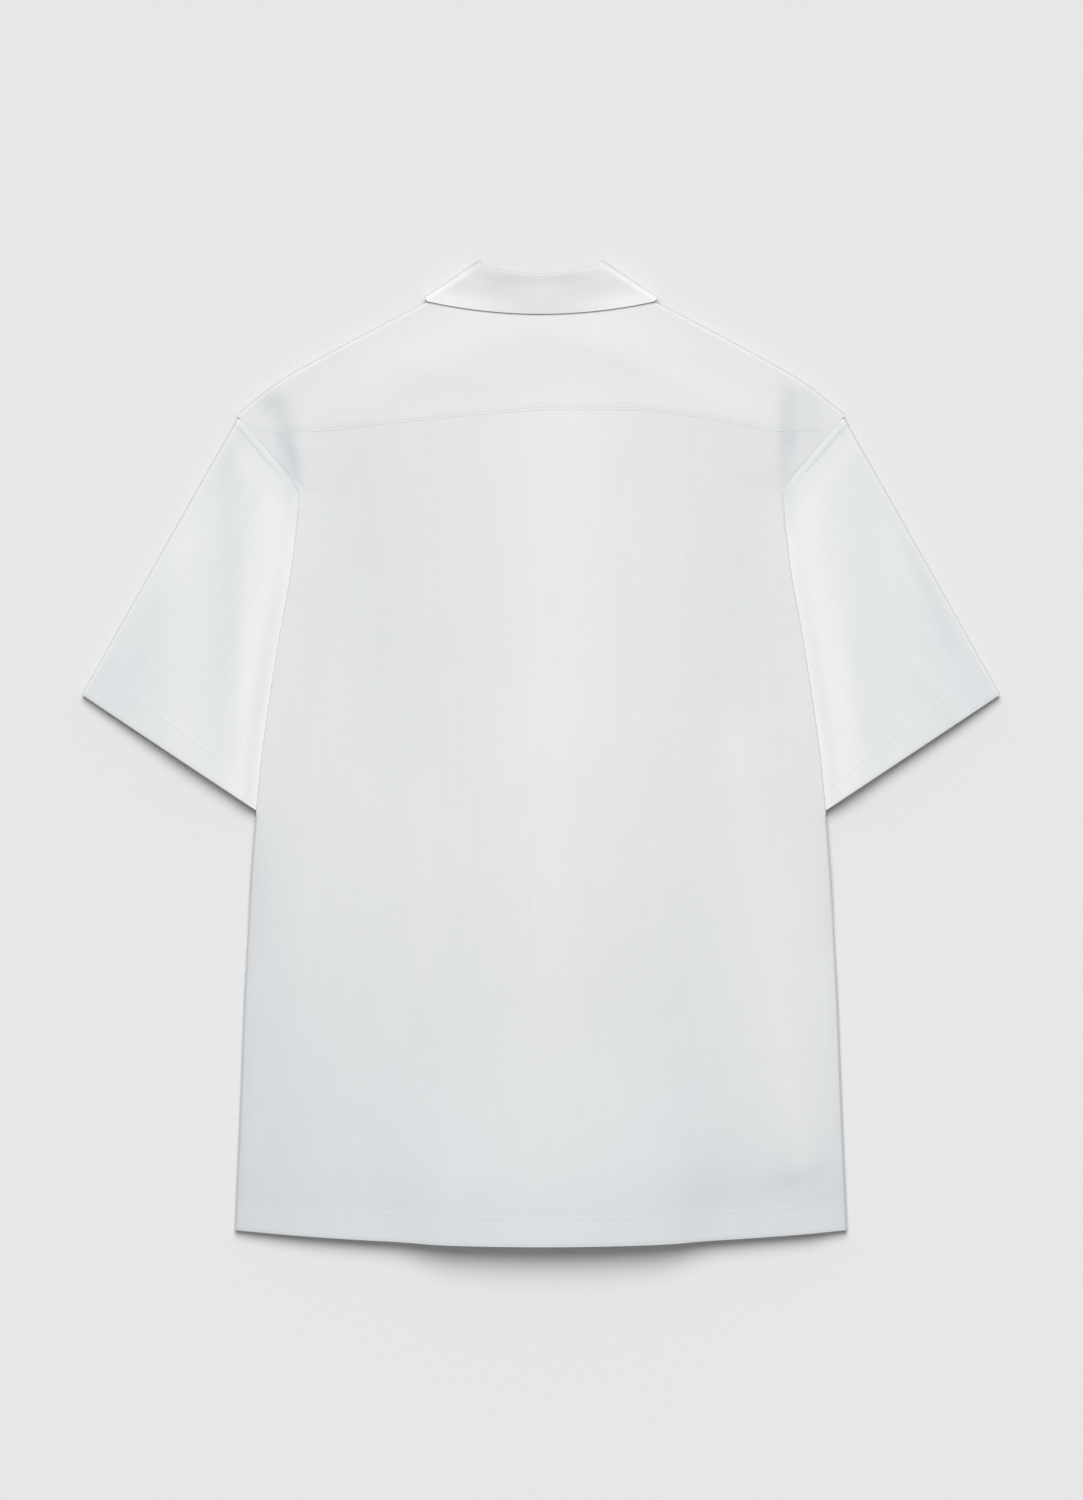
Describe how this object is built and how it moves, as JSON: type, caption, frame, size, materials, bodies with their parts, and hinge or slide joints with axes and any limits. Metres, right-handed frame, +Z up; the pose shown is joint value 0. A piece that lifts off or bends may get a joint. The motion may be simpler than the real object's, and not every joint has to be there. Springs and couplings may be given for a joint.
{
  "type": "bowling shirt",
  "caption": "Boxy short-sleeved bowling shirt in plain white cloth, with a back yoke and a camp collar, laid flat with its back up.",
  "frame": {"origin": "on the surface under the middle of the laid-out shirt's outline", "axes": "+Z up out of the shirt's back, +Y towards the collar, +X towards the wearer's right sleeve"},
  "size_m": [0.7134, 0.7657, 0.0243],
  "materials": {
    "shirt_cloth": "fine plain weave, matt",
    "collar_cloth": "fused double cloth, matt",
    "button_plastic": "moulded, smooth"
  },
  "bodies": {
    "root": {"back": "shirt_cloth", "yoke": "shirt_cloth", "front_left": "shirt_cloth", "front_right": "shirt_cloth", "sleeve_left": "shirt_cloth", "sleeve_right": "shirt_cloth", "collar": "collar_cloth", "lapel_left": "shirt_cloth", "lapel_right": "shirt_cloth", "button_1": "button_plastic", "button_2": "button_plastic", "button_3": "button_plastic", "button_4": "button_plastic", "button_5": "button_plastic", "button_6": "button_plastic"}
  },
  "joints": []
}
